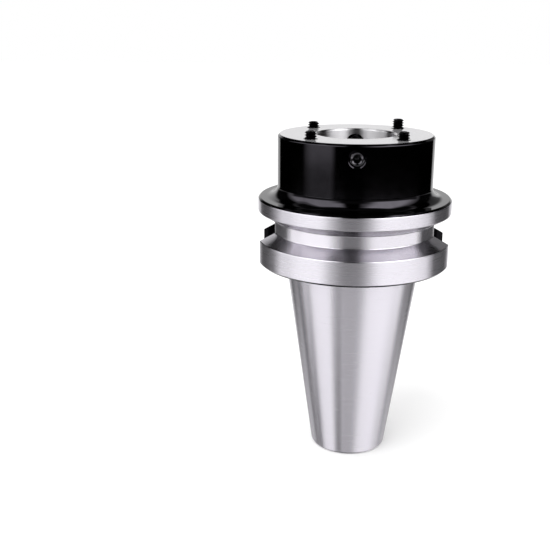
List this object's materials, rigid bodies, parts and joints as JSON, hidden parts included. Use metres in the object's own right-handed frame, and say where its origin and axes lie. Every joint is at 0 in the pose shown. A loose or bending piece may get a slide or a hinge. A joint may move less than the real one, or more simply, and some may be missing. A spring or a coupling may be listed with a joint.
{
  "type": "modular flange adapter",
  "caption": "Steep-taper milling tool holder with a gripper flange and a round nose: ground face and bore, radial centring screws and screws standing out of the face.",
  "frame": {"origin": "centre of the small end of the taper", "axes": "+Z along the axis from the small end to the nose; the drive keyways lie at +X and -X, and the pictured side faces -Y"},
  "size_m": [0.1, 0.1, 0.1768],
  "materials": {
    "ground_steel": "ground steel on taper, rims, groove, bore and face; glossy black oxide on the nose and the flange front",
    "black_screws": "glossy black oxide"
  },
  "bodies": {
    "holder": {"holder_body": "ground_steel"},
    "radial_screw_right": {"radial_screw_right": "black_screws"},
    "radial_screw_back": {"radial_screw_back": "black_screws"},
    "radial_screw_left": {"radial_screw_left": "black_screws"},
    "radial_screw_front": {"radial_screw_front": "black_screws"},
    "face_screw_front_left": {"face_screw_front_left": "black_screws"},
    "face_screw_front_right": {"face_screw_front_right": "black_screws"},
    "face_screw_back_left": {"face_screw_back_left": "black_screws"},
    "face_screw_back_right": {"face_screw_back_right": "black_screws"}
  },
  "joints": [
    {"name": "radial_screw_right_travel", "type": "slide", "parent": "holder", "child": "radial_screw_right", "axis": [-1, 0, 0], "range_m": [-0.0009, 0.0036]},
    {"name": "radial_screw_back_travel", "type": "slide", "parent": "holder", "child": "radial_screw_back", "axis": [0, -1, 0], "range_m": [-0.0009, 0.0036]},
    {"name": "radial_screw_left_travel", "type": "slide", "parent": "holder", "child": "radial_screw_left", "axis": [1, 0, 0], "range_m": [-0.0009, 0.0036]},
    {"name": "radial_screw_front_travel", "type": "slide", "parent": "holder", "child": "radial_screw_front", "axis": [0, 1, 0], "range_m": [-0.0009, 0.0036]},
    {"name": "face_screw_front_left_travel", "type": "slide", "parent": "holder", "child": "face_screw_front_left", "axis": [0, 0, 1], "range_m": [-0.0039, 0.0061]},
    {"name": "face_screw_front_right_travel", "type": "slide", "parent": "holder", "child": "face_screw_front_right", "axis": [0, 0, 1], "range_m": [-0.004, 0.006]},
    {"name": "face_screw_back_left_travel", "type": "slide", "parent": "holder", "child": "face_screw_back_left", "axis": [0, 0, 1], "range_m": [-0.0032, 0.0068]},
    {"name": "face_screw_back_right_travel", "type": "slide", "parent": "holder", "child": "face_screw_back_right", "axis": [0, 0, 1], "range_m": [-0.005, 0.005]}
  ]
}
